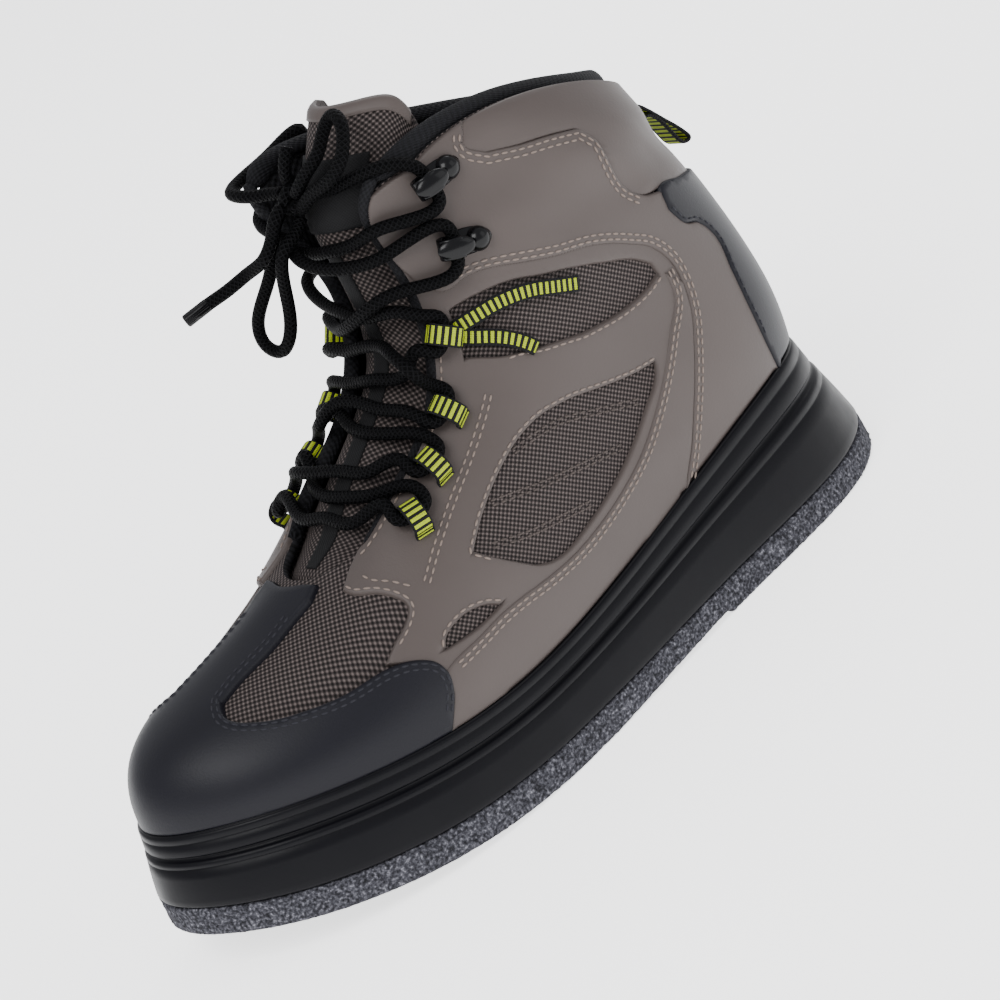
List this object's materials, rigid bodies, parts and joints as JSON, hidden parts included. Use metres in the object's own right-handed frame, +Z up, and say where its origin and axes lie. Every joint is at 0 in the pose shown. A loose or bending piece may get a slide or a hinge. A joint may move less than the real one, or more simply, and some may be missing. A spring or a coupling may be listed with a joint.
{
  "type": "wading boot",
  "caption": "Left ankle-high wading boot: felt outsole, rubber cup midsole, mesh upper with overlays, padded collar and laced throat.",
  "frame": {"origin": "on the floor under the middle of the sole's box", "axes": "+X to the toe, +Y to the lateral side, +Z up"},
  "size_m": [0.3117, 0.1115, 0.2081],
  "materials": {
    "felt": "speckled dark grey felt",
    "rubber": "matt moulded rubber",
    "lining": "padded mesh",
    "mesh": "open brown air mesh",
    "leather": "smooth synthetic leather",
    "cap": "satin rubber-coated synthetic",
    "knit": "ribbed knit",
    "webbing": "striped olive and black webbing",
    "metal": "glossy black enamelled steel",
    "lace": "round braided polyester"
  },
  "bodies": {
    "root": {"felt_outsole": "felt", "rubber_midsole": "rubber", "insole": "lining", "upper": "mesh", "tongue": "mesh", "lateral_panel": "leather", "medial_panel": "leather", "collar_panel": "leather", "toe_cap": "cap", "heel_counter": "cap", "collar_binding": "knit", "lace_loop_lateral_1": "webbing", "lace_loop_lateral_2": "webbing", "lace_loop_lateral_3": "webbing", "lace_loop_lateral_4": "webbing", "lace_loop_medial_1": "webbing", "lace_loop_medial_2": "webbing", "lace_loop_medial_3": "webbing", "lace_loop_medial_4": "webbing", "strap_lateral_upper": "webbing", "strap_lateral_lower": "webbing", "strap_medial_upper": "webbing", "strap_medial_lower": "webbing", "pull_loop": "webbing", "hook_lateral_1": "metal", "hook_lateral_2": "metal", "hook_medial_1": "metal", "hook_medial_2": "metal", "drain_eyelet_1": "metal", "drain_eyelet_2": "metal", "lace_crossings": "lace", "lace_knot": "lace", "lace_bow_upper": "lace", "lace_bow_lower": "lace", "lace_end_long": "lace", "lace_end_short": "lace"}
  },
  "joints": []
}
